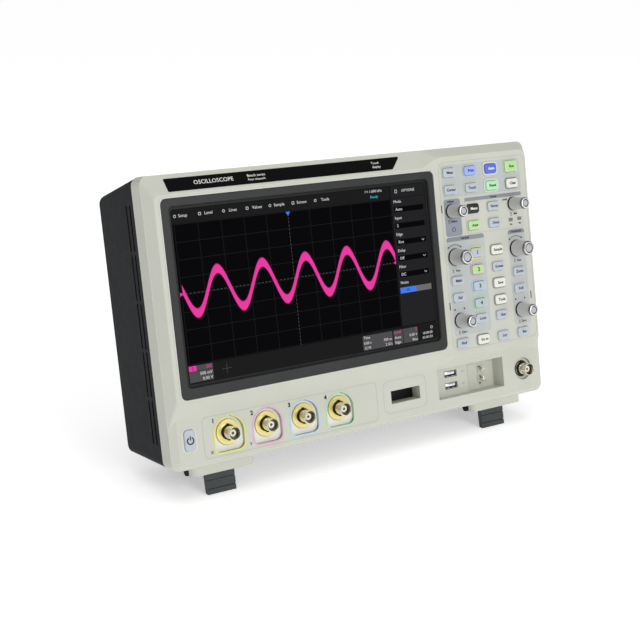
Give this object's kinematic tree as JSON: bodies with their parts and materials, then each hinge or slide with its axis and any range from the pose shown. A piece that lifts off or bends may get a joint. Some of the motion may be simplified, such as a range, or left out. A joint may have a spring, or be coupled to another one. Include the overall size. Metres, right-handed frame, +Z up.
{
  "type": "bench oscilloscope",
  "caption": "Bench oscilloscope with a wide display, control keys, turning knobs, coaxial inputs, tilt legs and a folding carry handle.",
  "frame": {"origin": "middle of the bounding box on the table under the instrument, which stands leaning back on its deployed tilt legs and rear feet", "axes": "+X to the right as its user sees it, +Y from the front panel towards the rear, +Z up"},
  "size_m": [0.352, 0.1302, 0.2375],
  "materials": {
    "housing_plastic": "fine texture, warm light grey",
    "case_plastic": "fine texture, near black",
    "frame_plastic": "satin dark grey",
    "screen_glass": "glossy touch screen, lit",
    "key_grey": "satin blue-grey",
    "key_white": "satin off-white",
    "key_lit": "translucent, lit green",
    "key_blue": "satin blue",
    "key_pale_blue": "satin pale blue",
    "key_pale_green": "satin pale green",
    "key_black": "satin black",
    "knob_plastic": "satin mid grey",
    "shaft_metal": "turned metal",
    "gold_metal": "gold plated",
    "nickel_metal": "nickel plated",
    "leg_plastic": "matt dark grey",
    "handle_plastic": "matt near black",
    "fan_plastic": "satin black",
    "board_laminate": "green circuit board",
    "cage_steel": "plated sheet steel"
  },
  "bodies": {
    "chassis": {"front_housing": "housing_plastic", "rear_housing": "case_plastic", "display_frame": "frame_plastic", "display_panel": "screen_glass", "bnc_channel_1": "gold_metal", "bnc_channel_2": "gold_metal", "bnc_channel_3": "gold_metal", "bnc_channel_4": "gold_metal", "bnc_external": "nickel_metal", "fan_frame": "fan_plastic", "main_board": "board_laminate", "keypad_board": "board_laminate", "power_supply": "cage_steel"},
    "handle": {"carry_handle": "handle_plastic"},
    "leg_left": {"tilt_leg_left": "leg_plastic"},
    "leg_right": {"tilt_leg_right": "leg_plastic"},
    "fan": {"fan_rotor": "fan_plastic"},
    "key_measure": {"key_measure": "key_grey"},
    "key_cursors": {"key_cursors": "key_grey"},
    "key_math": {"key_math": "key_grey"},
    "key_reference": {"key_reference": "key_grey"},
    "key_search": {"key_search": "key_grey"},
    "key_print": {"key_print": "key_pale_blue"},
    "key_touch": {"key_touch": "key_grey"},
    "key_trigger_setup": {"key_trigger_setup": "key_black"},
    "key_trigger_auto": {"key_trigger_auto": "key_lit"},
    "key_channel_1": {"key_channel_1": "key_grey"},
    "key_channel_2": {"key_channel_2": "key_lit"},
    "key_channel_3": {"key_channel_3": "key_grey"},
    "key_channel_4": {"key_channel_4": "key_grey"},
    "key_digital": {"key_digital": "key_grey"},
    "key_navigate": {"key_navigate": "key_white"},
    "key_auto_setup": {"key_auto_setup": "key_blue"},
    "key_default_setup": {"key_default_setup": "key_pale_green"},
    "key_trigger_normal": {"key_trigger_normal": "key_grey"},
    "key_trigger_single": {"key_trigger_single": "key_grey"},
    "key_acquire": {"key_acquire": "key_white"},
    "key_display": {"key_display": "key_grey"},
    "key_save_recall": {"key_save_recall": "key_white"},
    "key_utility": {"key_utility": "key_white"},
    "key_generator": {"key_generator": "key_grey"},
    "key_history": {"key_history": "key_grey"},
    "key_clear_sweeps": {"key_clear_sweeps": "key_white"},
    "key_zoom": {"key_zoom": "key_grey"},
    "key_roll": {"key_roll": "key_grey"},
    "key_decode": {"key_decode": "key_grey"},
    "key_run_stop": {"key_run_stop": "key_lit"},
    "key_power": {"key_power": "key_grey"},
    "encoder_universal": {"plunger_universal": "shaft_metal"},
    "encoder_trigger_level": {"plunger_trigger_level": "shaft_metal"},
    "encoder_vertical_scale": {"plunger_vertical_scale": "shaft_metal"},
    "encoder_horizontal_scale": {"plunger_horizontal_scale": "shaft_metal"},
    "encoder_vertical_position": {"plunger_vertical_position": "shaft_metal"},
    "encoder_horizontal_position": {"plunger_horizontal_position": "shaft_metal"},
    "knob_universal": {"knob_universal": "knob_plastic"},
    "knob_trigger_level": {"knob_trigger_level": "knob_plastic"},
    "knob_vertical_scale": {"knob_vertical_scale": "knob_plastic"},
    "knob_horizontal_scale": {"knob_horizontal_scale": "knob_plastic"},
    "knob_vertical_position": {"knob_vertical_position": "knob_plastic"},
    "knob_horizontal_position": {"knob_horizontal_position": "knob_plastic"}
  },
  "joints": [
    {"name": "press_measure", "type": "slide", "parent": "chassis", "child": "key_measure", "axis": [0, 0.9829, -0.184], "range_m": [0, 0.001], "stiffness_N_per_m": 600, "springref_m": -0.001},
    {"name": "press_cursors", "type": "slide", "parent": "chassis", "child": "key_cursors", "axis": [0, 0.9829, -0.184], "range_m": [0, 0.001], "stiffness_N_per_m": 600, "springref_m": -0.001},
    {"name": "press_math", "type": "slide", "parent": "chassis", "child": "key_math", "axis": [0, 0.9829, -0.184], "range_m": [0, 0.001], "stiffness_N_per_m": 600, "springref_m": -0.001},
    {"name": "press_reference", "type": "slide", "parent": "chassis", "child": "key_reference", "axis": [0, 0.9829, -0.184], "range_m": [0, 0.001], "stiffness_N_per_m": 600, "springref_m": -0.001},
    {"name": "press_search", "type": "slide", "parent": "chassis", "child": "key_search", "axis": [0, 0.9829, -0.184], "range_m": [0, 0.001], "stiffness_N_per_m": 600, "springref_m": -0.001},
    {"name": "press_print", "type": "slide", "parent": "chassis", "child": "key_print", "axis": [0, 0.9829, -0.184], "range_m": [0, 0.001], "stiffness_N_per_m": 600, "springref_m": -0.001},
    {"name": "press_touch", "type": "slide", "parent": "chassis", "child": "key_touch", "axis": [0, 0.9829, -0.184], "range_m": [0, 0.001], "stiffness_N_per_m": 600, "springref_m": -0.001},
    {"name": "press_trigger_setup", "type": "slide", "parent": "chassis", "child": "key_trigger_setup", "axis": [0, 0.9829, -0.184], "range_m": [0, 0.001], "stiffness_N_per_m": 600, "springref_m": -0.001},
    {"name": "press_trigger_auto", "type": "slide", "parent": "chassis", "child": "key_trigger_auto", "axis": [0, 0.9829, -0.184], "range_m": [0, 0.001], "stiffness_N_per_m": 600, "springref_m": -0.001},
    {"name": "press_channel_1", "type": "slide", "parent": "chassis", "child": "key_channel_1", "axis": [0, 0.9829, -0.184], "range_m": [0, 0.001], "stiffness_N_per_m": 600, "springref_m": -0.001},
    {"name": "press_channel_2", "type": "slide", "parent": "chassis", "child": "key_channel_2", "axis": [0, 0.9829, -0.184], "range_m": [0, 0.001], "stiffness_N_per_m": 600, "springref_m": -0.001},
    {"name": "press_channel_3", "type": "slide", "parent": "chassis", "child": "key_channel_3", "axis": [0, 0.9829, -0.184], "range_m": [0, 0.001], "stiffness_N_per_m": 600, "springref_m": -0.001},
    {"name": "press_channel_4", "type": "slide", "parent": "chassis", "child": "key_channel_4", "axis": [0, 0.9829, -0.184], "range_m": [0, 0.001], "stiffness_N_per_m": 600, "springref_m": -0.001},
    {"name": "press_digital", "type": "slide", "parent": "chassis", "child": "key_digital", "axis": [0, 0.9829, -0.184], "range_m": [0, 0.001], "stiffness_N_per_m": 600, "springref_m": -0.001},
    {"name": "press_navigate", "type": "slide", "parent": "chassis", "child": "key_navigate", "axis": [0, 0.9829, -0.184], "range_m": [0, 0.001], "stiffness_N_per_m": 600, "springref_m": -0.001},
    {"name": "press_auto_setup", "type": "slide", "parent": "chassis", "child": "key_auto_setup", "axis": [0, 0.9829, -0.184], "range_m": [0, 0.001], "stiffness_N_per_m": 600, "springref_m": -0.001},
    {"name": "press_default_setup", "type": "slide", "parent": "chassis", "child": "key_default_setup", "axis": [0, 0.9829, -0.184], "range_m": [0, 0.001], "stiffness_N_per_m": 600, "springref_m": -0.001},
    {"name": "press_trigger_normal", "type": "slide", "parent": "chassis", "child": "key_trigger_normal", "axis": [0, 0.9829, -0.184], "range_m": [0, 0.001], "stiffness_N_per_m": 600, "springref_m": -0.001},
    {"name": "press_trigger_single", "type": "slide", "parent": "chassis", "child": "key_trigger_single", "axis": [0, 0.9829, -0.184], "range_m": [0, 0.001], "stiffness_N_per_m": 600, "springref_m": -0.001},
    {"name": "press_acquire", "type": "slide", "parent": "chassis", "child": "key_acquire", "axis": [0, 0.9829, -0.184], "range_m": [0, 0.001], "stiffness_N_per_m": 600, "springref_m": -0.001},
    {"name": "press_display", "type": "slide", "parent": "chassis", "child": "key_display", "axis": [0, 0.9829, -0.184], "range_m": [0, 0.001], "stiffness_N_per_m": 600, "springref_m": -0.001},
    {"name": "press_save_recall", "type": "slide", "parent": "chassis", "child": "key_save_recall", "axis": [0, 0.9829, -0.184], "range_m": [0, 0.001], "stiffness_N_per_m": 600, "springref_m": -0.001},
    {"name": "press_utility", "type": "slide", "parent": "chassis", "child": "key_utility", "axis": [0, 0.9829, -0.184], "range_m": [0, 0.001], "stiffness_N_per_m": 600, "springref_m": -0.001},
    {"name": "press_generator", "type": "slide", "parent": "chassis", "child": "key_generator", "axis": [0, 0.9829, -0.184], "range_m": [0, 0.001], "stiffness_N_per_m": 600, "springref_m": -0.001},
    {"name": "press_history", "type": "slide", "parent": "chassis", "child": "key_history", "axis": [0, 0.9829, -0.184], "range_m": [0, 0.001], "stiffness_N_per_m": 600, "springref_m": -0.001},
    {"name": "press_clear_sweeps", "type": "slide", "parent": "chassis", "child": "key_clear_sweeps", "axis": [0, 0.9829, -0.184], "range_m": [0, 0.001], "stiffness_N_per_m": 600, "springref_m": -0.001},
    {"name": "press_zoom", "type": "slide", "parent": "chassis", "child": "key_zoom", "axis": [0, 0.9829, -0.184], "range_m": [0, 0.001], "stiffness_N_per_m": 600, "springref_m": -0.001},
    {"name": "press_roll", "type": "slide", "parent": "chassis", "child": "key_roll", "axis": [0, 0.9829, -0.184], "range_m": [0, 0.001], "stiffness_N_per_m": 600, "springref_m": -0.001},
    {"name": "press_decode", "type": "slide", "parent": "chassis", "child": "key_decode", "axis": [0, 0.9829, -0.184], "range_m": [0, 0.001], "stiffness_N_per_m": 600, "springref_m": -0.001},
    {"name": "press_run_stop", "type": "slide", "parent": "chassis", "child": "key_run_stop", "axis": [0, 0.9829, -0.184], "range_m": [0, 0.001], "stiffness_N_per_m": 600, "springref_m": -0.001},
    {"name": "press_power", "type": "slide", "parent": "chassis", "child": "key_power", "axis": [0, 0.9829, -0.184], "range_m": [0, 0.0015], "stiffness_N_per_m": 600, "springref_m": -0.001},
    {"name": "push_universal", "type": "slide", "parent": "chassis", "child": "encoder_universal", "axis": [0, 0.9829, -0.184], "range_m": [0, 0.0005], "stiffness_N_per_m": 2400, "springref_m": -0.0007},
    {"name": "push_trigger_level", "type": "slide", "parent": "chassis", "child": "encoder_trigger_level", "axis": [0, 0.9829, -0.184], "range_m": [0, 0.0005], "stiffness_N_per_m": 2400, "springref_m": -0.0007},
    {"name": "push_vertical_scale", "type": "slide", "parent": "chassis", "child": "encoder_vertical_scale", "axis": [0, 0.9829, -0.184], "range_m": [0, 0.0005], "stiffness_N_per_m": 2400, "springref_m": -0.0007},
    {"name": "push_horizontal_scale", "type": "slide", "parent": "chassis", "child": "encoder_horizontal_scale", "axis": [0, 0.9829, -0.184], "range_m": [0, 0.0005], "stiffness_N_per_m": 2400, "springref_m": -0.0007},
    {"name": "push_vertical_position", "type": "slide", "parent": "chassis", "child": "encoder_vertical_position", "axis": [0, 0.9829, -0.184], "range_m": [0, 0.0005], "stiffness_N_per_m": 2400, "springref_m": -0.0007},
    {"name": "push_horizontal_position", "type": "slide", "parent": "chassis", "child": "encoder_horizontal_position", "axis": [0, 0.9829, -0.184], "range_m": [0, 0.0005], "stiffness_N_per_m": 2400, "springref_m": -0.0007},
    {"name": "turn_universal", "type": "hinge", "parent": "encoder_universal", "child": "knob_universal", "pos_m": [0.0895, -0.03905, 0.19003], "axis": [0, 0.9829, -0.184], "continuous": true},
    {"name": "turn_trigger_level", "type": "hinge", "parent": "encoder_trigger_level", "child": "knob_trigger_level", "pos_m": [0.1543, -0.03905, 0.19003], "axis": [0, 0.9829, -0.184], "continuous": true},
    {"name": "turn_vertical_scale", "type": "hinge", "parent": "encoder_vertical_scale", "child": "knob_vertical_scale", "pos_m": [0.0895, -0.04589, 0.15346], "axis": [0, 0.9829, -0.184], "continuous": true},
    {"name": "turn_horizontal_scale", "type": "hinge", "parent": "encoder_horizontal_scale", "child": "knob_horizontal_scale", "pos_m": [0.1543, -0.04593, 0.15327], "axis": [0, 0.9829, -0.184], "continuous": true},
    {"name": "turn_vertical_position", "type": "hinge", "parent": "encoder_vertical_position", "child": "knob_vertical_position", "pos_m": [0.0895, -0.05545, 0.10235], "axis": [0, 0.9829, -0.184], "continuous": true},
    {"name": "turn_horizontal_position", "type": "hinge", "parent": "encoder_horizontal_position", "child": "knob_horizontal_position", "pos_m": [0.1543, -0.05545, 0.10235], "axis": [0, 0.9829, -0.184], "continuous": true},
    {"name": "fold_leg_left", "type": "hinge", "parent": "chassis", "child": "leg_left", "pos_m": [-0.1312, -0.03826, 0.02029], "axis": [1, 0, 0], "range_deg": [0, 90]},
    {"name": "fold_leg_right", "type": "hinge", "parent": "chassis", "child": "leg_right", "pos_m": [0.1312, -0.03826, 0.02029], "axis": [1, 0, 0], "range_deg": [0, 90]},
    {"name": "raise_handle", "type": "hinge", "parent": "chassis", "child": "handle", "pos_m": [0, 0.0141, 0.22395], "axis": [1, 0, 0], "range_deg": [0, 100]},
    {"name": "spin_fan", "type": "hinge", "parent": "chassis", "child": "fan", "pos_m": [0.09, 0.04153, 0.14219], "axis": [0, 0.9829, -0.184], "continuous": true}
  ]
}
